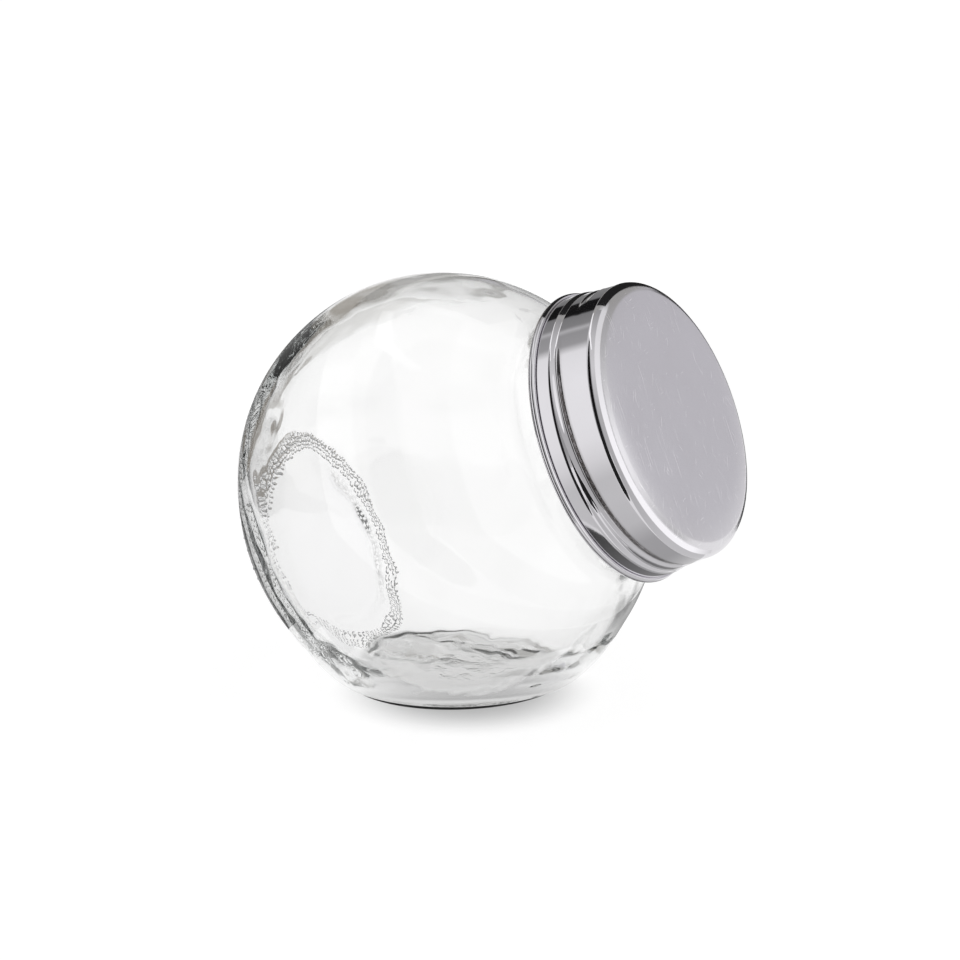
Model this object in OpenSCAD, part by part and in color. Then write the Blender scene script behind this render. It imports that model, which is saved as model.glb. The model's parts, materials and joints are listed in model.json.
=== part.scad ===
// Tilted ball jar of clear glass with a screw lid of drawn steel.
// Millimetres, +Z up. The origin is the centre of the flat that the jar stands on.
// The mouth axis leans up from level, towards +X. Every round form is turned about that axis,
// as a profile in which x is the distance from the axis and y the distance along it.

/* [Ball] */
// Largest diameter of the ball, square to the mouth axis
ball_d = 96; // [88:0.5:110]
// How far the centre of the profile's arc lies off the axis, which flattens the ball along it
arc_offset = 5.8; // [2:0.1:9]
// Thickness of the glass at the ball's widest place
wall_t = 2.2; // [1.8:0.1:4]
// How much farther off the axis the inside's arc has its centre, which thickens the wall at the base and neck
wall_shift = 4.2; // [0:0.1:6]
// Angle of the mouth axis above level
mouth_tilt = 22.8; // [15:0.2:30]
// Height of the ball's centre above the table
centre_h = 40.3; // [38:0.1:43]

/* [Standing flat] */
// Thickness of the glass over the flat
flat_t = 2.8; // [2:0.1:6]
// How far the flat's centre lies in front of the ball's centre
flat_shift = 2.3; // [0:0.1:4]

/* [Moulded base] */
// Diameter of the flat base opposite the mouth
base_d = 53; // [44:0.5:58]
// Thickness of the glass in the base
base_t = 3.4; // [2.6:0.1:6]
// Rounding of the base's edge
base_edge_r = 1.5; // [0.5:0.1:4]
// Rounding inside, where the wall meets the base
heel_r = 8; // [4:0.5:12]
// Diameter of the shallow hollow in the base
hollow_d = 44; // [36:0.5:50]
// Depth of that hollow
hollow_h = 1.2; // [0.6:0.1:2.5]

/* [Neck] */
// Outer diameter of the neck, without its thread
neck_d = 56.4; // [52:0.2:60]
// Thickness of the glass in the neck
neck_t = 3.2; // [2.6:0.1:4]
// Distance of the rim from the ball's centre, along the mouth axis
rim_s = 57; // [53:0.1:62]
// Radius of the throat where the neck leaves the ball
throat_r = 4; // [2.5:0.1:5]
// Rounding of the rim's two edges
rim_r = 1.1; // [0.6:0.1:1.2]

/* [Lid] */
// Thickness of the steel sheet
sheet_t = 0.3; // [0.2:0.05:0.5]
// Room for the thread between the neck and the lid's skirt
thread_room = 1.6; // [1.4:0.05:2.2]
// Height of the lid, from its hem to its panel
lid_h = 16.5; // [14:0.1:17.5]
// Rounding of the shoulder between the panel and the skirt
shoulder_r = 3.2; // [1.8:0.1:3.4]
// Radius of the hem's curl
hem_r = 0.95; // [0.8:0.05:1.1]
// Height of the bead above the hem's lower edge
bead_h = 3.6; // [3.2:0.1:4]
// Radius of the bead's section
bead_r = 1.7; // [1.4:0.05:2]
// How far the bead stands out from the skirt
bead_out = 0.9; // [0.5:0.05:1.2]
// Height of the rolled groove above the hem's lower edge
groove_h = 7.1; // [6:0.1:8]
// Radius of the groove's section
groove_r = 1.5; // [1.2:0.05:2]
// Depth of the groove in the skirt
groove_in = 0.75; // [0.4:0.05:1]

/* [Seal] */
// Thickness of the sealing disc inside the lid
liner_t = 1; // [0.6:0.1:1.5]
// Clearance round the sealing disc, inside the lid's shoulder
liner_gap = 0.15; // [0.05:0.05:0.4]

/* [Hidden] */
$fn = 180;

// Room for cutting tools beyond the solids
spare = 1;

// Ball and base
arc_r = ball_d / 2 - arc_offset;
inside_offset = arc_offset + wall_shift;
inside_r = ball_d / 2 - wall_t - inside_offset;
base_r = base_d / 2;
base_s = sqrt(pow(arc_r, 2) - pow(base_r - arc_offset, 2));
hollow_r = hollow_d / 2;
hollow_arc = (pow(hollow_r, 2) + pow(hollow_h, 2)) / (2 * hollow_h);

// Neck
neck_r = neck_d / 2;
bore_r = neck_r - neck_t;

// Lid, with its places along the axis counted from the ball's centre
lid_in_r = neck_r + thread_room;
lid_r = lid_in_r + sheet_t;
panel_s = rim_s + liner_t + sheet_t;
hem_s = panel_s - lid_h;
bead_s = hem_s + bead_h;
groove_s = hem_s + groove_h;
bead_x = lid_r + bead_out - bead_r;
groove_x = lid_r - groove_in + groove_r;
// The curl's end stops this far round, short of the skirt
curl_end = 135;

// Sealing disc, whose upper edge is as round as it is thick
liner_r = lid_in_r - (shoulder_r - sheet_t) + liner_t - liner_gap;

// Sets a turned form, with its axis along Z, on the mouth axis
module on_mouth_axis() {
    translate([-flat_shift, 0, centre_h])
        rotate([0, 90 - mouth_tilt, 0])
            children();
}

// Everything above the level z
module above(z) {
    translate([-ball_d, -ball_d, z])
        cube(2 * ball_d);
}

// Half profile of a ball with a neck: a flat bottom and its rounded heel, the ball's arc, with its centre off the
// axis, and the neck's straight with the throat below it
module flask_profile(off, arc, bottom, heel, neck, throat, top) {
    heel_s = bottom + heel;
    heel_x = off + sqrt(pow(arc - heel, 2) - pow(heel_s, 2));
    throat_x = neck + throat;
    throat_s = sqrt(pow(arc + throat, 2) - pow(throat_x - off, 2));
    // Beyond the arc, on the line from its centre through the heel's
    beyond = 2 * arc / (arc - heel);
    intersection() {
        translate([off, 0])
            circle(arc);
        polygon([
            [0, 0],
            [off, 0],
            [off + beyond * (heel_x - off), beyond * heel_s],
            [off + 2 * arc, arc],
            [0, arc]
        ]);
    }
    translate([heel_x, heel_s])
        circle(heel);
    translate([0, bottom])
        square([heel_x, -bottom]);
    square([neck, top]);
    difference() {
        polygon([
            [0, 0],
            [off, 0],
            [throat_x, throat_s],
            [0, throat_s]
        ]);
        translate([throat_x, throat_s])
            circle(throat);
    }
}

// Ring of glass taken off a corner to round it: at x and s, on the side given by out
module corner_cut(x, s, r, out) {
    difference() {
        translate([out > 0 ? x - r : x - spare, s - r])
            square([r + spare, r + spare]);
        translate([x - out * r, s - r])
            circle(r);
    }
}

module jar_outside() {
    intersection() {
        on_mouth_axis()
            rotate_extrude()
                difference() {
                    flask_profile(arc_offset, arc_r, -base_s, base_edge_r, neck_r, throat_r, rim_s);
                    translate([0, hollow_h - base_s - hollow_arc])
                        intersection() {
                            circle(hollow_arc);
                            translate([0, hollow_arc - 2 * hollow_h])
                                square([hollow_r + spare, 3 * hollow_h]);
                        }
                    corner_cut(neck_r, rim_s, rim_r, 1);
                }
        above(0);
    }
}

module jar_inside() {
    intersection() {
        on_mouth_axis()
            rotate_extrude() {
                flask_profile(
                    inside_offset, inside_r, base_t - base_s, heel_r, bore_r, throat_r + neck_t, rim_s + spare
                );
                corner_cut(bore_r, rim_s, rim_r, -1);
            }
        above(flat_t);
    }
}

module glass_jar() {
    color([0.90, 0.93, 0.92, 0.4])
        difference() {
            jar_outside();
            jar_inside();
        }
}

// Half profile of the lid's form, filled to the axis and drawn in by the sheet's thickness or not
module lid_form(inset, bottom) {
    top = panel_s - inset;
    side = lid_r - inset;
    round_r = shoulder_r - inset;
    difference() {
        union() {
            translate([0, bottom])
                square([side, top - round_r - bottom]);
            square_top = top - round_r - spare;
            translate([0, square_top])
                square([side - round_r, top - square_top]);
            intersection() {
                translate([side - round_r, top - round_r])
                    circle(round_r);
                translate([0, square_top])
                    square([side, top - square_top]);
            }
            translate([bead_x, bead_s])
                intersection() {
                    circle(bead_r - inset);
                    translate([0, -bead_r])
                        square([bead_r, 2 * bead_r]);
                }
        }
        translate([groove_x, groove_s])
            circle(groove_r + inset);
    }
}

// Open curl at the hem: the sheet turns out, up and back, and its end stops short of the skirt
module hem_curl() {
    hem_x = lid_in_r + hem_r;
    translate([hem_x, hem_s + hem_r])
        difference() {
            circle(hem_r);
            circle(hem_r - sheet_t);
            polygon([
                [0, 0],
                [2 * hem_r * cos(curl_end), 2 * hem_r * sin(curl_end)],
                [-2 * hem_r, 0]
            ]);
        }
}

module lid_shell() {
    color([0.72, 0.71, 0.72])
        on_mouth_axis()
            rotate_extrude() {
                difference() {
                    lid_form(0, hem_s + hem_r);
                    lid_form(sheet_t, hem_s + hem_r - spare);
                }
                hem_curl();
            }
}

module sealing_disc() {
    color([0.93, 0.93, 0.91])
        on_mouth_axis()
            rotate_extrude()
                translate([0, rim_s]) {
                    square([liner_r - liner_t, liner_t]);
                    intersection() {
                        translate([liner_r - liner_t, 0])
                            circle(liner_t);
                        square([liner_r, liner_t]);
                    }
                }
}

glass_jar();
lid_shell();
sealing_disc();
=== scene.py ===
"""Looks of a tilted ball jar: blown glass with a stippled base, a drawn steel screw lid and its white seal.

Shapes are worked out in millimetres. Every round form is turned about the mouth axis: r is the distance
from that axis, s the distance along it from the ball's centre and theta the angle round it, which starts
at the top and runs towards the near side, -Y.
"""
import json
import math

import bpy
import numpy as np
from mathutils import Matrix, Vector


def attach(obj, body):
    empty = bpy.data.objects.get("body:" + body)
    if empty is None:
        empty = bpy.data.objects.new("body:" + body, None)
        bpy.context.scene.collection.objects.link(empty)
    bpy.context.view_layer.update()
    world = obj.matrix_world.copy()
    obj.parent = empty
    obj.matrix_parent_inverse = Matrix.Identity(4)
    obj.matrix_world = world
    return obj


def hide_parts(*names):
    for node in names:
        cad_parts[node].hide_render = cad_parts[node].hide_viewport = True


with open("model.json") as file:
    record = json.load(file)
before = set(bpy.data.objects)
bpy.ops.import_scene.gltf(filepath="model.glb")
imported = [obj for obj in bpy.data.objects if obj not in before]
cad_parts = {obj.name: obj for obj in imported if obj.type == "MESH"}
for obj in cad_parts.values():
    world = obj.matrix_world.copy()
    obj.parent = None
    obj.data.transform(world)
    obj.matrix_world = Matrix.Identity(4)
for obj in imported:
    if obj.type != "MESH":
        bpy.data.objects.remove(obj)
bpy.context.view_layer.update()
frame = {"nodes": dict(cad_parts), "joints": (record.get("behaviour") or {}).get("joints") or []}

MM = 0.001

# Ball, whose inside is an arc of its own with its centre farther off the axis
BALL_R = 48.0
ARC_OFFSET = 5.8
ARC_R = BALL_R - ARC_OFFSET
BELLY_T = 2.2
INNER_OFFSET = 8.5
MELTED_R = 0.7

# Standing flat: an ellipse that is a little dished, with a pool of glass over it inside
FOOT_RX = 23.5
FOOT_RY = 25.8
FLAT_T = 2.6
FLAT_ROUNDING = 1.6
POOL_ROUNDING = 2.0
DISH_H = 0.3
DISH_R = 23.0
DISH_FULL_R = 6.0
DISH_X = -1.0

# Heel: fuller than the ball's arc, low down and away from the base
HEEL_OUT = 1.1
HEEL_TOP = 14.0
HEEL_FULL = 2.0
HEEL_FROM_BASE = 8.0

# Unevenness of the glass, in rows of height, wavelength and seed
OUTSIDE_WAVES = ((0.015, 22.0, 11),)
INSIDE_WAVES = ((0.10, 30.0, 5), (0.02, 9.0, 6), (0.003, 4.0, 14))
BASE_WAVES = ((0.035, 7.0, 15),)
NECK_WAVES = ((0.06, 10.0, 13),)
POOL_WAVES = ((0.22, 20.0, 7), (0.02, 4.0, 8))
LOW_WAVES = ((0.004, 3.0, 9),)

# Where some of these waves begin and are full, along the axis or in height
BASE_WAVES_S = (-22.0, -31.0)
BASE_WAVES_Z = (9.0, 20.0)
NECK_WAVES_S = (14.0, 34.0)
LOW_WAVES_Z = (40.0, 8.0)

# Speckled patch on the underside: its middle, its radii, and the heights between which it ends
SPECKLED_MIDDLE = (5.0, -7.0)
SPECKLED_RADII = (13.0, 13.0)
SPECKLED_Z = (0.4, 0.9)

# Moulded base, which leans down from the mouth axis and has a shallow hollow inside a stippled ring
BASE_R = 27.8
BASE_S = -math.sqrt(ARC_R ** 2 - (BASE_R - ARC_OFFSET) ** 2)
BASE_T = 2.6
BASE_LEAN = 4.0
LEAN_FROM_S = -14.0
LEAN_FULL_S = -32.0
HOLLOW_R = 22.2
HOLLOW_FLAT_R = 15.5
HOLLOW_H = 0.7
HOLLOW_POINTS = 60
INNER_HEEL_R = 6.0
STIPPLE_ROWS = (23.2, 24.5, 25.8, 27.1)
STIPPLE_PITCH = 1.4
STIPPLE_H = 0.65
STIPPLE_R = 0.52
STIPPLE_SIZES = (0.65, 1.25)
STIPPLE_STRAY_R = 0.28
STIPPLE_STRAY_ALONG = 0.3
STIPPLE_SEED = 40
STIPPLE_MARGIN = 1.2
STIPPLE_TOP = 2.0

# Neck and its thread
NECK_R = 28.2
NECK_T = 3.2
RIM_S = 57.0
SEAL_T = 1.0
THROAT_R = 4.0
THREAD_LEAD = 8.0
THREAD_STARTS = 2
RIDGE_H = 1.0
RIDGE_HALF_W = 1.25
RIDGE_ABOVE_GROOVE = 2.1
RIDGE_HALF_SWEEP = 130.0
RIDGE_RUN_OUT = 16.0

# Lid, with a panel that bends down a little towards its shoulder
SHEET = 0.3
LID_R = 30.1
FLARE_OUT = 0.25
FLARE_H = 5.0
PANEL_S = 58.6
PANEL_DROP = 1.2
PANEL_FLAT_R = 17.0
SATIN_FROM = 1.15
SATIN_FULL = 0.55
HEM_S = 41.8
HEM_R = 0.95
CURL_END = 135.0
PANEL_EDGE_R = 90.0
PANEL_EDGE_TURN = 4.6
SHOULDER_R = 3.2
SKIRT_MARGIN = 0.3
SKIRT_TOP_S = PANEL_S - SHOULDER_R
SKIRT_BOTTOM_S = HEM_S + 2 * HEM_R
BEAD_TOP_S = 48.3
BEAD_BOTTOM_S = 43.5
BEAD_TOP_FLANK = 1.9
BEAD_FLANK = 0.35
BEAD_OUT = 0.55
GROOVE_S = 48.9
GROOVE_IN = 0.45
GROOVE_HALF_W = 1.2
GROOVE_MIDDLE = 35.0
GROOVE_HALF_SWEEP = 70.0
GROOVE_RUN_OUT = 34.0
GROOVE_BOTTOM_S = 46.5
GROOVE_TOP_S = 51.5
# How far above the grooves' middle their darkening lies, partly grime and partly painted shade
GROOVE_DARK_ABOVE = 0.6
NEAR_SIDE = 86.8
THREAD_BOTTOM = GROOVE_S + RIDGE_ABOVE_GROOVE - THREAD_LEAD / 2 - RIDGE_HALF_W

# Points in a ring of each mesh. Nearer to a pole than so many rings, the points are divided by so much
GLASS_SEGMENTS = 480
GLASS_THINNED = ((5, 4), (12, 2))
LID_SEGMENTS = 288
LID_THINNED = ((5, 2),)

# Where the camera stands
CAMERA_AZIMUTH = 27.41
CAMERA_ELEVATION = 13.86
CAMERA_DISTANCE = 768.0
CAMERA_AIM = (-1.08, 11.9, 40.6)
CAMERA_LENS = 131.19
CAMERA_SENSOR = 36.0
CAMERA_RIGHT = Vector((math.cos(math.radians(CAMERA_AZIMUTH)), math.sin(math.radians(CAMERA_AZIMUTH)), 0.0))
CAMERA_TILT = Matrix.Rotation(math.radians(-CAMERA_ELEVATION), 3, CAMERA_RIGHT)
CAMERA_BACK = -(CAMERA_TILT @ Vector((0, 0, 1)).cross(CAMERA_RIGHT))
EYE = np.array(Vector(CAMERA_AIM) + CAMERA_BACK * CAMERA_DISTANCE)

# Floor, with its painted shadow, whose ellipse is turned to the side that the shadow falls on
FLOOR_SIZE = 6000.0
FLOOR_DROP = 0.04
FLOOR_TONE = (1.0, 1.0, 1.0)
SHADOW_AZIMUTH = -62.6
SHADOW_MIDDLE = (14.0, 1.5)
SHADOW_RADII = (29.0, 26.2)
# Painted contact shadow: points round it, its inner edge as a share of the foot, and how far its outer edge
# reaches out on the shadow's side
CONTACT_POINTS = 144
CONTACT_INNER = 0.93
CONTACT_OUTER = 0.08

# Edges of the paper on the left: the way across each, and where the dark beyond it begins and is full
PAPER_EDGES = (
    ((0.8194, 0.5732, 0.0), -108.0, -120.0),
    ((0.9, -0.3, 0.0), -185.0, -215.0),
)

# Cards
CARD_ROWS = 9
CARD_COLUMNS = 121
CARD_LOWEST = 2.0
CARD_CLEAR_R = 54.0
FLAG_HEIGHT = 1.0

# How often light may turn inside the glass
BOUNCES = 48


# The mouth axis and the ball's centre, from the joint that the lid turns on

lid_turn = next(joint for joint in frame["joints"] if joint["name"] == "lid_turn")
AXIS = np.array(lid_turn["axis"], float)
AXIS = AXIS / np.linalg.norm(AXIS)
NEAR = np.array((0.0, -1.0, 0.0))
TOP = np.cross(NEAR, AXIS)
CENTRE = np.array(lid_turn["pos_m"], float) / MM - AXIS * (RIM_S + SEAL_T)


def around(theta):
    """Directions square to the mouth axis."""
    return np.multiply.outer(np.cos(theta), TOP) + np.multiply.outer(np.sin(theta), NEAR)


def on_axis(r, theta, s):
    """Points in the row frame, in millimetres, of places given round the mouth axis."""
    return CENTRE + np.asarray(s)[..., None] * AXIS + np.asarray(r)[..., None] * around(theta)


# Profiles

def arc(centre, radius, start, end, step=0.1):
    """Points (r, s) on an arc, from one angle to another, in degrees."""
    count = max(3, int(abs(math.radians(end - start)) * radius / step) + 1)
    angles = np.radians(np.linspace(start, end, count))
    return np.column_stack((centre[0] + radius * np.cos(angles), centre[1] + radius * np.sin(angles)))


def length_along(points):
    """How far along a line each of its points lies."""
    steps = np.linalg.norm(np.diff(points, axis=0), axis=1)
    return np.concatenate(([0.0], np.cumsum(steps)))


def even(points, step):
    """The same line with points a small even step apart."""
    along = length_along(points)
    places = np.linspace(0.0, along[-1], int(along[-1] / step) + 2)
    return np.column_stack([np.interp(places, along, points[:, k]) for k in range(2)])


def soften(points, spread, step=0.1):
    """Rounds every corner of a line, as melted glass is, and keeps its ends."""
    line = even(points, step)
    reach = int(4 * spread / step)
    weights = np.exp(-0.5 * (np.arange(-reach, reach + 1) * step / spread) ** 2)
    weights /= weights.sum()
    before = 2 * line[0] - line[reach:0:-1]
    after = 2 * line[-1] - line[-2:-reach - 2:-1]
    padded = np.vstack((before, line, after))
    return np.column_stack([np.convolve(padded[:, k], weights, "valid") for k in range(2)])


def spaced(points, step_at, fine=0.02):
    """Picks ring places along a line, with the step that step_at gives for each (r, s)."""
    line = even(points, fine)
    density = np.array([1.0 / step_at(r, s) for r, s in line])
    along = length_along(line)
    rings = np.concatenate(([0.0], np.cumsum(0.5 * (density[1:] + density[:-1]) * np.diff(along))))
    places = np.interp(np.linspace(0.0, rings[-1], int(round(rings[-1])) + 1), rings, along)
    return np.column_stack([np.interp(places, along, line[:, k]) for k in range(2)])


# Small shaping functions

def fade(x, start, end):
    """0 before start and 1 after end, smoothly. start may be the larger."""
    t = np.clip((x - start) / (end - start), 0.0, 1.0)
    return t * t * (3.0 - 2.0 * t)


def swell(x, half_width):
    """Rounded rise of height 1 at x = 0 that ends at the half width."""
    return np.where(np.abs(x) < half_width, 0.5 + 0.5 * np.cos(np.pi * x / half_width), 0.0)


def rounded_max(a, b, rounding):
    """The larger of two heights, with the corner between them rounded."""
    near = np.maximum(rounding - np.abs(a - b), 0.0) / rounding
    return np.maximum(a, b) + near * near * rounding / 4.0


def ripple(points, wavelength, seed, waves=28):
    """Smooth uneven field of about unit height, from waves that run in many directions."""
    draw = np.random.default_rng(seed)
    directions = draw.normal(size=(waves, 3))
    directions /= np.linalg.norm(directions, axis=1, keepdims=True)
    lengths = wavelength * draw.uniform(0.7, 1.5, waves)
    phases = draw.uniform(0.0, 2.0 * math.pi, waves)
    angles = points @ (directions.T * (2.0 * math.pi / lengths)) + phases
    return np.sin(angles).sum(axis=-1) * math.sqrt(2.0 / waves)


def unevenness(points, rows):
    """Sum of ripples, each given by its height, wavelength and seed."""
    return sum(height * ripple(points, wavelength, seed) for height, wavelength, seed in rows)


def turn_gap(theta, middle):
    """Angle from a middle direction, in degrees from -180 to 180."""
    return (np.degrees(theta) - middle + 180.0) % 360.0 - 180.0


# Meshes

def object_of(name, points, faces):
    """New object in the scene, from points in millimetres."""
    mesh = bpy.data.meshes.new(name)
    mesh.from_pydata((np.asarray(points) * MM).tolist(), [], faces)
    piece = bpy.data.objects.new(name, mesh)
    bpy.context.scene.collection.objects.link(piece)
    return piece


def angles_of(count):
    """Angles of a ring's points."""
    return np.arange(count) * (2.0 * math.pi / count)


def ring_count(from_pole, full, thinned):
    """Points in a ring: one at the pole itself, and a part of the full count near it."""
    if from_pole == 0:
        return 1
    for rings, part in thinned:
        if from_pole < rings:
            return full // part
    return full


def ring_faces(first, n, second, m):
    """Faces between neighbouring rings of n and m points, which are equal, doubled, halved or a pole."""
    if n == 1:
        j = np.arange(m)
        return [np.column_stack((np.full(m, first), second + (j + 1) % m, second + j))]
    if m == 1:
        j = np.arange(n)
        return [np.column_stack((first + j, first + (j + 1) % n, np.full(n, second)))]
    if n == m:
        j = np.arange(n)
        k = (j + 1) % n
        return [np.column_stack((first + j, first + k, second + k, second + j))]
    j = np.arange(min(n, m))
    k = (j + 1) % len(j)
    fine = max(n, m)
    left, middle, right = 2 * j, 2 * j + 1, (2 * j + 2) % fine
    if m > n:
        return [
            np.column_stack((first + j, first + k, second + middle)),
            np.column_stack((first + j, second + middle, second + left)),
            np.column_stack((first + k, second + right, second + middle)),
        ]
    return [
        np.column_stack((first + left, first + middle, second + j)),
        np.column_stack((first + middle, first + right, second + k)),
        np.column_stack((first + middle, second + k, second + j)),
    ]


def skin(name, rings, places):
    """Smooth closed mesh over a row of rings. places holds each point's (x, y, s) round the mouth axis."""
    faces = []
    start = 0
    for ring, following in zip(rings, rings[1:]):
        for block in ring_faces(start, len(ring), start + len(ring), len(following)):
            faces.extend(block.tolist())
        start += len(ring)
    piece = object_of(name, np.vstack(rings), faces)
    mesh = piece.data
    mesh.polygons.foreach_set("use_smooth", np.ones(len(mesh.polygons), dtype=bool))
    turned = mesh.attributes.new("turned", "FLOAT_VECTOR", "POINT")
    turned.data.foreach_set("vector", (np.vstack(places) * MM).astype(np.float32).ravel())
    mesh.update()
    return piece


def turned_places(r, theta, s):
    """Places (x, y, s) round the mouth axis."""
    return np.column_stack((r * np.cos(theta), r * np.sin(theta), np.broadcast_to(s, np.shape(theta))))


# Glass jar

def outer_profile():
    """Outside of the glass, from the base's centre to the middle of the rim."""
    hollow_r = np.linspace(0.0, HOLLOW_R, HOLLOW_POINTS)
    hollow_s = BASE_S + HOLLOW_H * fade(hollow_r, HOLLOW_R, HOLLOW_FLAT_R)
    throat_r = NECK_R + THROAT_R
    throat_s = math.sqrt((ARC_R + THROAT_R) ** 2 - (throat_r - ARC_OFFSET) ** 2)
    base_turn = math.degrees(math.atan2(BASE_S, BASE_R - ARC_OFFSET))
    throat_turn = math.degrees(math.atan2(throat_s, throat_r - ARC_OFFSET))
    return np.vstack((
        np.column_stack((hollow_r, hollow_s)),
        arc((ARC_OFFSET, 0.0), ARC_R, base_turn, throat_turn),
        arc((throat_r, throat_s), THROAT_R, 180.0 + throat_turn, 180.0),
        ((NECK_R, RIM_S), (NECK_R - NECK_T / 2, RIM_S)),
    ))


def inner_profile():
    """Inside of the glass, from the middle of the rim to the base's centre."""
    arc_r = BALL_R - BELLY_T - INNER_OFFSET
    bore_r = NECK_R - NECK_T
    throat = THROAT_R + NECK_T
    throat_r = bore_r + throat
    throat_s = math.sqrt((arc_r + throat) ** 2 - (throat_r - INNER_OFFSET) ** 2)
    throat_turn = math.degrees(math.atan2(throat_s, throat_r - INNER_OFFSET))
    floor_s = BASE_S + BASE_T
    heel_s = floor_s + INNER_HEEL_R
    heel_r = INNER_OFFSET + math.sqrt((arc_r - INNER_HEEL_R) ** 2 - heel_s ** 2)
    heel_turn = math.degrees(math.atan2(heel_s, heel_r - INNER_OFFSET))
    return np.vstack((
        ((NECK_R - NECK_T / 2, RIM_S), (bore_r, RIM_S)),
        arc((throat_r, throat_s), throat, 180.0, 180.0 + throat_turn),
        arc((INNER_OFFSET, 0.0), arc_r, throat_turn, heel_turn),
        arc((heel_r, heel_s), INNER_HEEL_R, heel_turn, -90.0),
        ((0.0, floor_s),),
    ))


def in_stipple(r, s):
    """Whether a place on the profile lies on the stippled ring."""
    on_ring = STIPPLE_ROWS[0] - STIPPLE_MARGIN < r < STIPPLE_ROWS[-1] + STIPPLE_MARGIN
    return on_ring and s < BASE_S + STIPPLE_TOP


def glass_step(r, s):
    """Step between the rings of the glass: finest on the stipple, fine on the thread, coarse in the base."""
    if in_stipple(r, s):
        return 0.16
    if s > THREAD_BOTTOM and r > NECK_R - 1.0:
        return 0.3
    if s < BASE_S + 6.0 and r < HOLLOW_FLAT_R - 1.0:
        return 1.2
    if r > 30.0 and s < 36.0:
        return 0.5
    return 0.7


def stipple(r, theta):
    """Height of the rows of small domes on the base ring, each dome a little off its place."""
    height = np.zeros_like(theta)
    for row, row_r in enumerate(STIPPLE_ROWS):
        count = int(round(2.0 * math.pi * row_r / STIPPLE_PITCH))
        draw = np.random.default_rng(STIPPLE_SEED + row)
        off_r = draw.uniform(-STIPPLE_STRAY_R, STIPPLE_STRAY_R, count)
        off_along = draw.uniform(-STIPPLE_STRAY_ALONG, STIPPLE_STRAY_ALONG, count)
        size = draw.uniform(*STIPPLE_SIZES, count)
        place = theta * count / (2.0 * math.pi) + 0.5 * (row % 2)
        dot = np.floor(place).astype(int) % count
        along = (place - np.floor(place) - 0.5) * (2.0 * math.pi * row_r / count) - off_along[dot]
        gap = np.hypot(along, r - row_r - off_r[dot]) / (STIPPLE_R * size[dot])
        height = np.maximum(height, STIPPLE_H * size[dot] * np.clip(1.0 - gap ** 2, 0.0, None))
    return height


def thread_ridge(theta, s):
    """Height of the glass thread on the neck: right-handed, in starts evenly spread round it."""
    height = np.zeros_like(theta)
    for start in range(THREAD_STARTS):
        gap = turn_gap(theta, NEAR_SIDE + start * 360.0 / THREAD_STARTS)
        middle = GROOVE_S + RIDGE_ABOVE_GROOVE + THREAD_LEAD * gap / 360.0
        ends = fade(np.abs(gap), RIDGE_HALF_SWEEP, RIDGE_HALF_SWEEP - RIDGE_RUN_OUT)
        height = np.maximum(height, RIDGE_H * ends * swell(s - middle, RIDGE_HALF_W))
    return height


def shape_outside(points, normals, r, theta, s):
    """Moves a ring of the plain outside to the real glass: thread, stipple, full heel and standing flat."""
    push = unevenness(points, OUTSIDE_WAVES)
    if in_stipple(r, s):
        push = push + stipple(r, theta)
    if s > THREAD_BOTTOM - 1.0:
        push = push + thread_ridge(theta, s)
    away_from_base = fade(s, BASE_S, BASE_S + HEEL_FROM_BASE)
    push = push + HEEL_OUT * away_from_base * fade(points[:, 2], HEEL_TOP, HEEL_FULL)
    points = points + normals * push[:, None]
    from_middle = np.hypot(points[:, 0] - DISH_X, points[:, 1])
    dish = DISH_H * fade(from_middle, DISH_R, DISH_FULL_R)
    points[:, 2] = rounded_max(points[:, 2], dish, FLAT_ROUNDING)
    return points


def shape_inside(points, normals):
    """Moves a ring of the plain inside to the real glass: uneven walls and a wrinkled pool over the flat."""
    along = (points - CENTRE) @ AXIS
    height = points[:, 2]
    low = fade(height, *LOW_WAVES_Z)
    by_base = fade(along, *BASE_WAVES_S) * fade(height, *BASE_WAVES_Z)
    by_neck = fade(along, *NECK_WAVES_S)
    push = unevenness(points, INSIDE_WAVES)
    push = push + by_base * unevenness(points, BASE_WAVES)
    push = push + by_neck * unevenness(points, NECK_WAVES)
    points = points + normals * push[:, None]
    level = points * (1, 1, 0)
    pool = FLAT_T + unevenness(level, POOL_WAVES)
    points[:, 2] = rounded_max(points[:, 2], pool, POOL_ROUNDING)
    return points + normals * (low * unevenness(points, LOW_WAVES))[:, None]


def leaned(points, s):
    """Turns the base end of the glass a little about the ball's centre, so that its ring sits lower."""
    turn = math.radians(BASE_LEAN) * float(fade(s, LEAN_FROM_S, LEAN_FULL_S))
    along = (points - CENTRE) @ AXIS
    upward = (points - CENTRE) @ TOP
    moved_along = along * math.cos(turn) - upward * math.sin(turn)
    moved_up = along * math.sin(turn) + upward * math.cos(turn)
    return points + np.outer(moved_along - along, AXIS) + np.outer(moved_up - upward, TOP)


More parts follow.
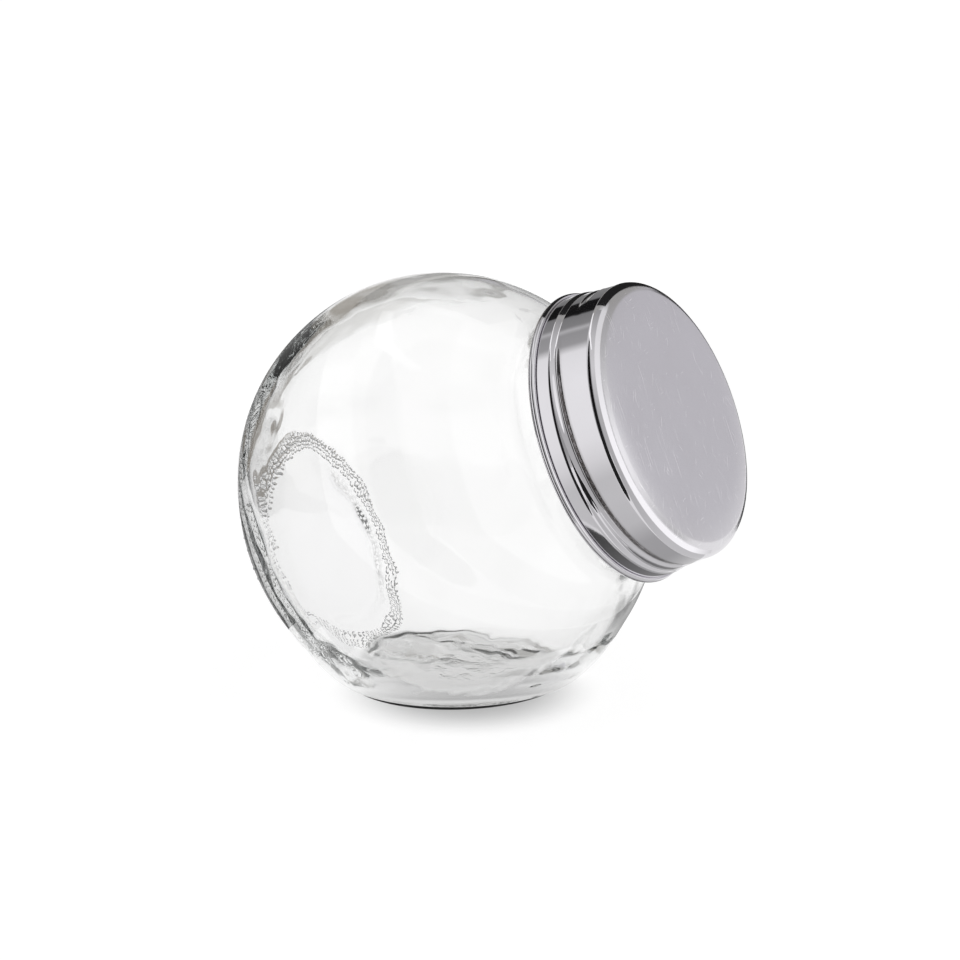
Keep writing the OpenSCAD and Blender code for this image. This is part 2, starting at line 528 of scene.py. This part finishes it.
def glass_jar():
    """The glass as one closed mesh, from the base's centre over the rim to the middle of the inside."""
    profile = soften(np.vstack((outer_profile(), inner_profile()[1:])), MELTED_R)
    profile[0, 0] = profile[-1, 0] = 0.0
    line = spaced(profile, glass_step)
    slopes = np.gradient(line, axis=0)
    slopes /= np.linalg.norm(slopes, axis=1, keepdims=True)
    rim = int(np.argmax(line[:, 1]))
    rings = []
    places = []
    last = len(line) - 1
    for k, ((r, s), (dr, ds)) in enumerate(zip(line, slopes)):
        full = GLASS_SEGMENTS * (2 if in_stipple(r, s) and k < rim else 1)
        count = ring_count(min(k, last - k), full, GLASS_THINNED)
        theta = angles_of(count)
        points = leaned(on_axis(np.full(count, r), theta, np.full(count, s)), s)
        ahead = leaned(on_axis(np.full(count, r + ds), theta, np.full(count, s - dr)), s)
        normals = ahead - points
        if k <= rim:
            points = shape_outside(points, normals, r, theta, s)
        else:
            points = shape_inside(points, normals)
        rings.append(points)
        places.append(turned_places(r, theta, s))
    return skin("blown_glass_jar", rings, places)


# Lid

def lid_profile():
    """The sheet's outline: over the panel and the skirt, round in the curl, and back along the inside."""
    turn = math.radians(PANEL_EDGE_TURN)
    shoulder_r = LID_R - SHOULDER_R
    shoulder_s = PANEL_S - PANEL_EDGE_R * (1 - math.cos(turn)) - SHOULDER_R * math.cos(turn)
    edge_r = shoulder_r + SHOULDER_R * math.sin(turn) - PANEL_EDGE_R * math.sin(turn)
    curl = (LID_R - SHEET + HEM_R, HEM_S + HEM_R)

    def over_the_top(inset):
        return np.vstack((
            ((0.0, PANEL_S - inset),),
            arc((edge_r, PANEL_S - PANEL_EDGE_R), PANEL_EDGE_R - inset, 90.0, 90.0 - PANEL_EDGE_TURN),
            arc((shoulder_r, shoulder_s), SHOULDER_R - inset, 90.0 - PANEL_EDGE_TURN, 0.0),
        ))

    outside = over_the_top(0.0)
    inside = over_the_top(SHEET)[::-1]
    return np.vstack((
        outside,
        arc(curl, HEM_R - SHEET, 180.0, 360.0 + CURL_END),
        arc(curl, HEM_R, 360.0 + CURL_END, 180.0),
        inside,
    ))


def lid_step(r, s):
    """Step between the rings of the lid: fine on the shoulder, bead, grooves and hem, coarse on the panel."""
    on_panel = s > PANEL_S - PANEL_DROP
    if on_panel and r < PANEL_FLAT_R:
        return 1.4
    if on_panel and r < LID_R - SHOULDER_R - 1.0:
        return 0.5
    if s > PANEL_S - 4.0:
        return 0.25
    if BEAD_BOTTOM_S - 0.3 < s < BEAD_BOTTOM_S + 0.7:
        return 0.09
    if s < SKIRT_BOTTOM_S + 0.1:
        return 0.17
    if GROOVE_BOTTOM_S < s < GROOVE_TOP_S:
        return 0.12
    return 0.24


def in_groove(theta, s, above):
    """1 along the middle of the rolled thread grooves, or a little above it, and 0 beside them."""
    inside = np.zeros_like(theta)
    for start in range(THREAD_STARTS):
        gap = turn_gap(theta, NEAR_SIDE + start * 360.0 / THREAD_STARTS)
        middle = GROOVE_S + THREAD_LEAD * gap / 360.0
        run = np.abs(gap - GROOVE_MIDDLE)
        ends = fade(run, GROOVE_HALF_SWEEP + GROOVE_RUN_OUT / 2, GROOVE_HALF_SWEEP - GROOVE_RUN_OUT / 2)
        inside = np.maximum(inside, ends * swell(s - middle - above, GROOVE_HALF_W))
    return inside


def skirt_push(theta, s):
    """How far the skirt stands out or in: its flare, the rolled bead and the rolled thread grooves."""
    top = SKIRT_TOP_S - 0.5
    flare = FLARE_OUT * fade(s, top, top - FLARE_H)
    bead = BEAD_OUT * fade(s, BEAD_TOP_S, BEAD_TOP_S - BEAD_TOP_FLANK)
    above_hem = fade(s, BEAD_BOTTOM_S, BEAD_BOTTOM_S + BEAD_FLANK)
    return (flare + bead) * above_hem - GROOVE_IN * in_groove(theta, s, 0.0)


def lid_shell():
    """The lid as one closed mesh of thin sheet, with how much each point is darkened by its grooves, partly
    grime and partly painted shade.
    """
    line = spaced(lid_profile(), lid_step)
    line[0, 0] = line[-1, 0] = 0.0
    rings = []
    places = []
    groove_dirt_and_shade = []
    last = len(line) - 1
    for k, (r, s) in enumerate(line):
        count = ring_count(min(k, last - k), LID_SEGMENTS, LID_THINNED)
        theta = angles_of(count)
        on_skirt = SKIRT_BOTTOM_S - SKIRT_MARGIN < s < SKIRT_TOP_S - SKIRT_MARGIN
        radius = r + (skirt_push(theta, s) if on_skirt else np.zeros(count))
        points = on_axis(radius, theta, np.full(count, s))
        rings.append(points)
        places.append(turned_places(radius, theta, s))
        groove_dirt_and_shade.append(in_groove(theta, s, GROOVE_DARK_ABOVE) if on_skirt and k < last / 2 else np.zeros(count))
    piece = skin("drawn_steel_lid", rings, places)
    groove_darkening = piece.data.attributes.new("groove_dirt_and_shade", "FLOAT", "POINT")
    groove_darkening.data.foreach_set("value", np.concatenate(groove_dirt_and_shade).astype(np.float32))
    return piece


# Materials

class Nodes:
    """A node tree with short ways to add nodes."""

    def __init__(self, owner):
        owner.use_nodes = True
        self.nodes = owner.node_tree.nodes
        self.links = owner.node_tree.links

    def add(self, kind, **settings):
        node = self.nodes.new(kind)
        for key, value in settings.items():
            setattr(node, key, value)
        return node

    def link(self, source, target):
        self.links.new(source, target)

    def feed(self, socket, value):
        """Sets a socket to a number or a colour, or links another socket to it."""
        if isinstance(value, float):
            socket.default_value = value
        elif isinstance(value, tuple):
            socket.default_value = (*value, 1.0)
        else:
            self.link(value, socket)

    def scaled(self, vector, scale):
        node = self.add("ShaderNodeVectorMath", operation="MULTIPLY")
        self.link(vector, node.inputs[0])
        node.inputs[1].default_value = scale
        return node.outputs["Vector"]

    def turned_level(self, vector, degrees):
        """The vector turned about the third axis."""
        node = self.add("ShaderNodeVectorRotate", rotation_type="Z_AXIS")
        self.link(vector, node.inputs["Vector"])
        node.inputs["Angle"].default_value = math.radians(degrees)
        return node.outputs["Vector"]

    def along(self, vector, way):
        """How far a vector reaches in a direction."""
        node = self.add("ShaderNodeVectorMath", operation="DOT_PRODUCT")
        self.link(vector, node.inputs[0])
        node.inputs[1].default_value = way
        return node.outputs["Value"]

    def range(self, value, low, high, to_low, to_high):
        """A value carried smoothly from one range to another."""
        node = self.add("ShaderNodeMapRange", interpolation_type="SMOOTHSTEP")
        self.link(value, node.inputs["Value"])
        for name, number in zip(("From Min", "From Max", "To Min", "To Max"), (low, high, to_low, to_high)):
            node.inputs[name].default_value = number
        return node.outputs["Result"]

    def math(self, operation, first, second):
        node = self.add("ShaderNodeMath", operation=operation)
        self.feed(node.inputs[0], first)
        self.feed(node.inputs[1], second)
        return node.outputs["Value"]

    def mix(self, factor, first, second):
        """Blend of two values by a factor."""
        node = self.add("ShaderNodeMix", data_type="FLOAT")
        for name, value in zip(("Factor", "A", "B"), (factor, first, second)):
            self.feed(node.inputs[name], value)
        return node.outputs["Result"]

    def tint(self, factor, first, second):
        """Blend of two colours by a factor."""
        node = self.add("ShaderNodeMix", data_type="RGBA")
        self.feed(node.inputs["Factor"], factor)
        sockets = [socket for socket in node.inputs if socket.type == "RGBA"]
        for socket, colour in zip(sockets, (first, second)):
            self.feed(socket, colour)
        return [socket for socket in node.outputs if socket.type == "RGBA"][0]


class Finish(Nodes):
    """A procedural material."""

    def __init__(self, name):
        self.material = bpy.data.materials.new(name)
        super().__init__(self.material)
        self.shader = self.nodes["Principled BSDF"]

    def set(self, **values):
        """Sets the shader's own sockets, with _ for each space in a socket's name."""
        for name, value in values.items():
            self.shader.inputs[name.replace("_", " ")].default_value = value

    def turned(self, scale):
        """Place round the mouth axis, in metres, times a scale for each direction."""
        place = self.add("ShaderNodeAttribute", attribute_name="turned")
        return self.scaled(place.outputs["Vector"], scale)

    def reach(self, vector, middle, radii):
        """How far out a place on the floor lies from a middle, as a share of an ellipse's radii."""
        node = self.add("ShaderNodeVectorMath", operation="SUBTRACT")
        self.link(vector, node.inputs[0])
        node.inputs[1].default_value = (middle[0] * MM, middle[1] * MM, 0.0)
        shares = self.scaled(node.outputs["Vector"], (1.0 / (radii[0] * MM), 1.0 / (radii[1] * MM), 0.0))
        node = self.add("ShaderNodeVectorMath", operation="LENGTH")
        self.link(shares, node.inputs[0])
        return node.outputs["Value"]

    def noise(self, vector, detail=2.0, roughness=0.5):
        node = self.add("ShaderNodeTexNoise")
        self.link(vector, node.inputs["Vector"])
        node.inputs["Scale"].default_value = 1.0
        node.inputs["Detail"].default_value = detail
        node.inputs["Roughness"].default_value = roughness
        return node.outputs["Fac"]

    def scratches(self, turn, along, across, sparse):
        """Sparse fine scratches on the panel that run at an angle: 1 on a scratch and 0 beside it."""
        place = self.turned_level(self.turned((1.0, 1.0, 0.0)), turn)
        lines = self.noise(self.scaled(place, (along, across, 0.0)), 1.0)
        return self.range(lines, sparse, sparse + 0.05, 0.0, 1.0)

    def bump(self, height, distance):
        """Makes the surface uneven: a height of 1 stands for the distance, in metres."""
        node = self.add("ShaderNodeBump")
        node.inputs["Strength"].default_value = 1.0
        node.inputs["Distance"].default_value = distance
        self.link(height, node.inputs["Height"])
        self.link(node.outputs["Normal"], self.shader.inputs["Normal"])


def clear_glass():
    """Colourless blown glass with faint waves, a few smudges and a speckled patch on its underside."""
    glass = Finish("clear_glass")
    glass.set(Base_Color=(1.0, 1.0, 1.0, 1.0), Transmission_Weight=1.0, IOR=1.52)
    depth = glass.add("ShaderNodeVolumeAbsorption")
    depth.inputs["Color"].default_value = (0.40, 0.43, 0.42, 1.0)
    depth.inputs["Density"].default_value = 8.0
    glass.link(depth.outputs["Volume"], glass.nodes["Material Output"].inputs["Volume"])
    smudge = glass.noise(glass.turned((60.0, 60.0, 90.0)), 3.0)
    glass.link(glass.range(smudge, 0.55, 0.8, 0.0, 0.02), glass.shader.inputs["Roughness"])
    waves = glass.noise(glass.turned((110.0, 110.0, 160.0)), 1.0)
    place = glass.add("ShaderNodeTexCoord").outputs["Object"]
    height = glass.along(place, (0.0, 0.0, 1.0))
    underside = glass.range(height, SPECKLED_Z[0] * MM, SPECKLED_Z[1] * MM, 1.0, 0.0)
    patch = glass.range(glass.reach(place, SPECKLED_MIDDLE, SPECKLED_RADII), 0.6, 1.1, 1.0, 0.0)
    uneven = glass.range(glass.noise(glass.scaled(place, (160.0, 160.0, 0.0)), 2.0), 0.4, 0.6, 0.0, 1.0)
    specks = glass.noise(glass.scaled(place, (900.0, 900.0, 0.0)), 3.0)
    speckled = glass.math("MULTIPLY", glass.math("MULTIPLY", underside, patch), uneven)
    marks = glass.math("MULTIPLY", glass.math("MULTIPLY", speckled, specks), 8.0)
    glass.bump(glass.math("ADD", waves, marks), 0.00003)
    return glass.material


def lid_steel():
    """Bright tinned steel: polished skirt darkened by its grooves with grime and painted shade, satin panel
    with fine scratches.
    """
    steel = Finish("lid_steel")
    steel.set(Metallic=1.0)
    along_axis = steel.along(steel.turned((1.0, 1.0, 1.0)), (0.0, 0.0, 1.0))
    on_panel = steel.range(along_axis, (PANEL_S - SATIN_FROM) * MM, (PANEL_S - SATIN_FULL) * MM, 0.0, 1.0)
    lines = steel.noise(steel.turned((90.0, 3600.0, 0.0)), 3.0, 0.6)
    marks = 0.0
    for turn, along, across, sparse in (
        (4.0, 70.0, 4200.0, 0.7),
        (35.0, 150.0, 4500.0, 0.71),
        (-28.0, 190.0, 4800.0, 0.72),
        (80.0, 260.0, 5000.0, 0.73),
    ):
        marks = steel.math("MAXIMUM", marks, steel.scratches(turn, along, across, sparse))
    marks = steel.math("MULTIPLY", marks, on_panel)
    cloud = steel.noise(steel.turned((70.0, 70.0, 70.0)), 3.0)
    skirt_rough = steel.range(cloud, 0.3, 0.7, 0.04, 0.08)
    panel_rough = steel.range(lines, 0.3, 0.7, 0.17, 0.22)
    rough = steel.mix(on_panel, skirt_rough, panel_rough)
    rough = steel.math("ADD", rough, steel.math("MULTIPLY", marks, 0.08))
    grain = steel.range(steel.noise(steel.turned((900.0, 900.0, 2200.0)), 3.0), 0.35, 0.6, 0.65, 1.0)
    # Darkening along the grooves: partly grime, partly painted shade in the recess, with a grain and more
    # roughness
    groove_darkening = steel.add("ShaderNodeAttribute", attribute_name="groove_dirt_and_shade").outputs["Fac"]
    groove_dirt_and_shade = steel.math("MULTIPLY", groove_darkening, grain)
    rough = steel.math("ADD", rough, steel.math("MULTIPLY", groove_dirt_and_shade, 0.12))
    steel.link(rough, steel.shader.inputs["Roughness"])
    colour = steel.tint(cloud, (0.64, 0.625, 0.65), (0.70, 0.69, 0.72))
    colour = steel.tint(marks, colour, (0.9, 0.89, 0.91))
    # Grime with painted shade: the grooves darken the steel towards dark brown
    steel.link(steel.tint(groove_dirt_and_shade, colour, (0.1, 0.085, 0.075)), steel.shader.inputs["Base Color"])
    height = steel.math("ADD", lines, steel.math("MULTIPLY", marks, -1.2))
    steel.bump(steel.math("MULTIPLY", height, on_panel), 0.0000001)
    return steel.material


def seal_plastic():
    """Soft white foamed plastic with fine cells."""
    foam = Finish("seal_plastic")
    foam.set(Roughness=0.7)
    coordinates = foam.add("ShaderNodeTexCoord").outputs["Object"]
    cells = foam.noise(foam.scaled(coordinates, (1800.0, 1800.0, 1800.0)), 2.0)
    foam.link(foam.tint(cells, (0.84, 0.84, 0.81), (0.93, 0.93, 0.91)), foam.shader.inputs["Base Color"])
    foam.bump(cells, 0.00006)
    return foam.material


def dress(piece, material):
    """Gives a piece one material."""
    piece.data.materials.clear()
    piece.data.materials.append(material)


jar = glass_jar()
dress(jar, clear_glass())
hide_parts("glass_jar")
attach(jar, "jar")

lid = lid_shell()
dress(lid, lid_steel())
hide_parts("lid_shell")
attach(lid, "lid")

dress(frame["nodes"]["sealing_disc"], seal_plastic())


# Floor, light and camera

def show_only_to(rays, piece):
    """Leaves a piece of the stage visible to one kind of ray."""
    for kind in ("camera", "diffuse", "glossy", "transmission", "shadow"):
        setattr(piece, "visible_" + kind, kind == rays)


def glow_by(piece, attribute, output, socket):
    """Black paint on a piece, which glows by what an attribute says."""
    paint = Finish(piece.name)
    paint.set(Base_Color=(0.0, 0.0, 0.0, 1.0), Roughness=1.0, Specular_IOR_Level=0.0)
    paint.set(Emission_Color=(1.0, 1.0, 1.0, 1.0), Emission_Strength=1.0)
    glow = paint.add("ShaderNodeAttribute", attribute_name=attribute)
    paint.link(glow.outputs[output], paint.shader.inputs[socket])
    dress(piece, paint.material)


def floor():
    """White paper that glows, with painted shade under the jar and a painted soft shadow of the jar round its
    foot.
    """
    ways = ((-1, -1), (1, -1), (1, 1), (-1, 1))
    corners = [(x * FLOOR_SIZE, y * FLOOR_SIZE, -FLOOR_DROP) for x, y in ways]
    piece = object_of("pale_floor", corners, [(0, 1, 2, 3)])
    paper = Finish("white_paper")
    paper.set(Base_Color=(0.16, 0.16, 0.16, 1.0), Roughness=0.6, Specular_IOR_Level=0.2)
    place = paper.add("ShaderNodeTexCoord").outputs["Object"]
    foot = paper.reach(place, (0.0, 0.0), (FOOT_RX, FOOT_RY))
    # The paper's glow is painted down, as shade, to 0.68 under the foot and in an ellipse of painted shadow
    # pushed towards the shadow's side
    shade = paper.reach(paper.turned_level(place, -SHADOW_AZIMUTH), SHADOW_MIDDLE, SHADOW_RADII)
    painted_shadow_glow = paper.range(shade, 0.42, 1.15, 0.42, 0.93)
    glow = paper.mix(paper.range(foot, 0.97, 1.03, 0.0, 1.0), 0.68, painted_shadow_glow)
    # The dark beyond the paper only shows in the glass and the lid: to the camera the floor is pale all over
    seen_directly = paper.add("ShaderNodeLightPath").outputs["Is Camera Ray"]
    off_paper = paper.range(seen_directly, 0.0, 1.0, 1.0, 0.0)
    for way, begins, full in PAPER_EDGES:
        beyond = paper.range(paper.along(place, way), begins * MM, full * MM, 0.0, 1.0)
        off_paper = paper.math("MULTIPLY", off_paper, beyond)
    glow = paper.math("MULTIPLY", glow, paper.range(off_paper, 0.0, 1.0, 1.0, 0.06))
    paper.set(Emission_Color=(1.0, 1.0, 1.0, 1.0))
    paper.link(glow, paper.shader.inputs["Emission Strength"])
    dress(piece, paper.material)


class Sky(Nodes):
    """Studio light from all round, built up from soft-edged patches of the sky."""

    def __init__(self, colour):
        world = bpy.data.worlds.new("studio")
        bpy.context.scene.world = world
        super().__init__(world)
        self.colour = colour
        way = self.add("ShaderNodeTexCoord").outputs["Generated"]
        self.height = self.along(way, (0.0, 0.0, 1.0))
        level = self.add("ShaderNodeVectorMath", operation="NORMALIZE")
        self.link(self.scaled(way, (1.0, 1.0, 0.0)), level.inputs[0])
        self.level = level.outputs["Vector"]

    def patch(self, colour, low, high, soft, middle=None, half_width=None):
        """Lays a patch over the sky: between two heights, and round a middle direction if one is given."""

        def height(degrees):
            return math.sin(math.radians(max(-90.0, min(90.0, degrees))))

        inside = self.range(self.height, height(low - soft), height(low + soft), 0.0, 1.0)
        if high < 90.0:
            below = self.range(self.height, height(high + soft), height(high - soft), 0.0, 1.0)
            inside = self.math("MULTIPLY", inside, below)
        if middle is not None:
            turn = math.radians(middle)
            towards = self.along(self.level, (math.cos(turn), math.sin(turn), 0.0))
            outer = math.cos(math.radians(half_width + soft))
            inner = math.cos(math.radians(max(0.0, half_width - soft)))
            inside = self.math("MULTIPLY", inside, self.range(towards, outer, inner, 0.0, 1.0))
        self.colour = self.tint(inside, self.colour, colour)

    def finish(self):
        self.feed(self.nodes["Background"].inputs["Color"], self.colour)


def light():
    """White all round, less so overhead, grey in front and behind, with two dark places low behind."""
    sky = Sky((1.0, 1.0, 1.0))
    sky.patch((0.8, 0.8, 0.8), low=10.0, high=90.0, soft=6.0)
    sky.patch((0.42, 0.42, 0.42), low=0.0, high=75.0, soft=12.0, middle=-62.0, half_width=75.0)
    sky.patch((0.45, 0.445, 0.43), low=6.0, high=60.0, soft=6.0, middle=95.0, half_width=70.0)
    sky.patch((0.66, 0.65, 0.68), low=1.0, high=18.0, soft=4.0, middle=65.0, half_width=45.0)
    sky.patch((0.3, 0.29, 0.27), low=1.0, high=8.0, soft=2.0, middle=106.0, half_width=7.0)
    sky.patch((0.35, 0.33, 0.3), low=4.0, high=24.0, soft=4.0, middle=136.0, half_width=9.0)
    sky.finish()


def mirrored(turn, tilt):
    """A place on the lid's edge, and the way that the camera looks on from it if its face has the tilt."""
    radial = around(math.radians(NEAR_SIDE + turn))
    place = CENTRE + SKIRT_TOP_S * AXIS + LID_R * radial
    face = math.cos(math.radians(tilt)) * radial + math.sin(math.radians(tilt)) * AXIS
    view = place - EYE
    view = view / np.linalg.norm(view)
    return place, view - 2.0 * (view @ face) * face


def card(name, stops, distance):
    """Card that only mirror-like surfaces see, set where the lid mirrors it.

    Each stop gives the turn round the lid, the lowest and highest tilt of its face, and the brightness.
    """
    stops = np.array(stops, float)
    along = np.linspace(0.0, len(stops) - 1.0, CARD_COLUMNS)
    turns, lows, highs, shades = (np.interp(along, np.arange(len(stops)), stops[:, k]) for k in range(4))
    corners = []
    for turn, low, high in zip(turns, lows, highs):
        for tilt in np.linspace(low, high, CARD_ROWS):
            place, way = mirrored(turn, tilt)
            reach = distance
            if way[2] < 0.0:
                reach = min(distance, (place[2] - CARD_LOWEST) / -way[2])
            corners.append(place + way * reach)
    corners = np.array(corners)
    column, row = np.divmod(np.arange((CARD_COLUMNS - 1) * (CARD_ROWS - 1)), CARD_ROWS - 1)
    first = column * CARD_ROWS + row
    faces = np.column_stack((first, first + CARD_ROWS, first + CARD_ROWS + 1, first + 1))
    clear_of_jar = np.linalg.norm(corners - CENTRE, axis=1) > CARD_CLEAR_R
    faces = faces[clear_of_jar[faces].all(axis=1)]
    piece = object_of(name, corners, faces.tolist())
    shade = piece.data.attributes.new("shade", "FLOAT", "POINT")
    shade.data.foreach_set("value", np.repeat(shades, CARD_ROWS).astype(np.float32))
    glow_by(piece, "shade", "Fac", "Emission Strength")
    show_only_to("glossy", piece)


def cards():
    """Strips of black, grey and white round the lid, which give its skirt and shoulder their lines."""
    card("skirt_card", (
        (-84.0, -5.5, 7.0, 0.25),
        (-70.5, -5.5, 7.0, 0.22),
        (-69.5, -5.5, 7.0, 0.01),
        (-60.5, -5.5, 7.0, 0.01),
        (-59.5, -5.5, 7.0, 0.25),
        (-53.0, -5.5, 7.0, 0.3),
        (-51.0, -5.5, 7.0, 0.6),
        (-49.0, -5.5, 7.0, 0.4),
        (-43.0, -5.5, 7.0, 0.45),
        (-39.0, -5.5, 7.0, 1.05),
        (-25.0, -5.5, 7.0, 1.12),
        (-2.0, -5.5, 7.0, 1.08),
        (6.0, -5.5, 6.0, 0.95),
        (14.0, -5.5, 5.0, 0.74),
        (24.0, -5.5, 5.0, 0.74),
        (36.0, -5.5, 7.0, 0.7),
        (46.0, -5.5, 8.0, 0.5),
        (62.0, -5.5, 8.0, 0.46),
        (80.0, -5.5, 8.0, 0.7),
    ), 500.0)
    card("shoulder_card", (
        (-46.0, 15.0, 17.0, 0.0),
        (-32.0, 11.0, 20.0, 0.0),
        (0.0, 9.0, 21.0, 0.02),
        (15.0, 7.0, 21.0, 0.02),
        (22.0, 6.5, 19.0, 0.02),
        (26.0, 9.0, 13.0, 0.02),
    ), 420.0)
    card("shoulder_grey", (
        (-60.0, 18.0, 37.0, 0.4),
        (-45.0, 18.0, 37.0, 0.7),
        (-30.0, 22.5, 37.0, 0.85),
        (-12.0, 23.0, 37.0, 0.6),
        (15.0, 23.0, 37.0, 0.58),
        (30.0, 16.0, 37.0, 0.65),
        (50.0, 9.0, 37.0, 0.75),
        (80.0, 9.0, 37.0, 0.75),
    ), 540.0)
    card("shoulder_glint", (
        (-58.0, 8.0, 12.0, 1.2),
        (-46.0, 11.0, 17.0, 1.5),
        (-38.0, 24.0, 28.0, 1.3),
    ), 400.0)
    card("edge_light", (
        (-66.0, 42.0, 52.0, 0.5),
        (-60.0, 37.0, 57.0, 0.95),
        (-25.0, 37.0, 58.0, 1.15),
        (0.0, 37.0, 58.0, 1.35),
        (68.0, 37.0, 58.0, 1.4),
        (84.0, 42.0, 55.0, 0.9),
    ), 600.0)
    card("panel_glow", (
        (-60.0, 59.0, 85.0, 0.5),
        (-35.0, 60.0, 85.0, 0.65),
        (-15.0, 61.0, 85.0, 0.95),
        (2.0, 60.0, 86.0, 1.25),
        (18.0, 60.0, 86.0, 1.2),
        (35.0, 61.0, 85.0, 0.85),
        (60.0, 62.0, 85.0, 0.6),
    ), 620.0)
    card("groove_card", (
        (-50.0, -45.0, -6.0, 0.3),
        (-30.0, -45.0, -6.0, 0.04),
        (30.0, -45.0, -6.0, 0.06),
        (50.0, -45.0, -6.0, 0.16),
        (75.0, -45.0, -6.0, 0.3),
    ), 300.0)
    card("top_card", (
        (-140.0, 12.0, 72.0, 0.02),
        (-90.0, 12.0, 60.0, 0.02),
        (-63.0, 9.0, 44.0, 0.02),
    ), 460.0)
    card("far_card", (
        (112.0, 58.0, 78.0, 0.02),
        (252.0, 58.0, 78.0, 0.02),
    ), 520.0)


def flag(name, corners, colour, soft):
    """Level card, just above the floor, that is seen only through the glass and fades towards its edge."""
    count = len(corners)
    outer = np.column_stack((np.array(corners, float), np.full(count, FLAG_HEIGHT)))
    inner = outer + (outer.mean(axis=0) - outer) * soft
    faces = ring_faces(0, count, count, count)[0].tolist() + [list(range(count, 2 * count))]
    piece = object_of(name, np.vstack((outer, inner)), faces)
    tone = piece.data.attributes.new("tone", "FLOAT_COLOR", "POINT")
    tones = [(*FLOOR_TONE, 1.0)] * count + [(*colour, 1.0)] * count
    tone.data.foreach_set("color", np.array(tones, np.float32).ravel())
    glow_by(piece, "tone", "Color", "Emission Color")
    show_only_to("transmission", piece)


def flags():
    """Cards that give the glass its grey and brown edges, the right one a painted shadow of the lid: corners
    (x, y), colour and share of soft edge.
    """
    # Painted shadow of the lid on the floor, seen only through the glass
    flag("painted_lid_shadow", ((24, 8), (64, 4), (72, 106), (22, 104)), (0.25, 0.25, 0.25), 0.8)
    flag("left_flag", (
        (-180, 112), (-184, 148), (-240, 212), (-325, 350), (-620, 760),
        (-1500, 900), (-1400, 300), (-400, 110), (-205, 85),
    ), (0.26, 0.235, 0.205), 0.03)
    flag("back_flag", (
        (-300, 430), (-330, 600), (-480, 1000), (-900, 1900),
        (-2600, 2600), (-700, 760), (-370, 360),
    ), (0.76, 0.755, 0.74), 0.3)


def painted_contact_shadow():
    """Painted contact shadow: a thin dark ring on the floor where the jar meets it, seen only by the camera,
    so the glass doesn't carry it up into the heel.
    """
    turns = angles_of(CONTACT_POINTS)
    towards = np.clip(np.cos(turns - math.radians(SHADOW_AZIMUTH)), 0.0, None)
    foot = np.column_stack((FOOT_RX * np.cos(turns), FOOT_RY * np.sin(turns)))
    outline = np.vstack((foot * CONTACT_INNER, foot * (1.0 + CONTACT_OUTER * towards)[:, None]))
    points = np.column_stack((outline, np.full(len(outline), -FLOOR_DROP / 2)))
    faces = ring_faces(0, CONTACT_POINTS, CONTACT_POINTS, CONTACT_POINTS)[0]
    piece = object_of("painted_contact_shadow", points, faces.tolist())
    paint = Finish("painted_contact_shadow")
    # Painted shade: this dark grey stands in for the shadow where the jar touches the floor
    paint.set(Base_Color=(0.05, 0.05, 0.05, 1.0), Roughness=1.0)
    dress(piece, paint.material)
    show_only_to("camera", piece)


def camera():
    """Camera at the photograph's viewing angle."""
    up = CAMERA_BACK.cross(CAMERA_RIGHT)
    data = bpy.data.cameras.new("camera")
    data.lens = CAMERA_LENS
    data.sensor_width = CAMERA_SENSOR
    data.clip_start = 0.01
    data.clip_end = 50.0
    eye = bpy.data.objects.new("camera", data)
    turn = Matrix((CAMERA_RIGHT, up, CAMERA_BACK)).transposed().to_4x4()
    eye.matrix_world = Matrix.Translation(Vector(EYE) * MM) @ turn
    bpy.context.scene.collection.objects.link(eye)
    bpy.context.scene.camera = eye


floor()
light()
cards()
flags()
painted_contact_shadow()
camera()

scene = bpy.context.scene
scene.view_settings.view_transform = "Standard"
scene.cycles.max_bounces = BOUNCES
scene.cycles.transmission_bounces = BOUNCES
scene.cycles.glossy_bounces = BOUNCES
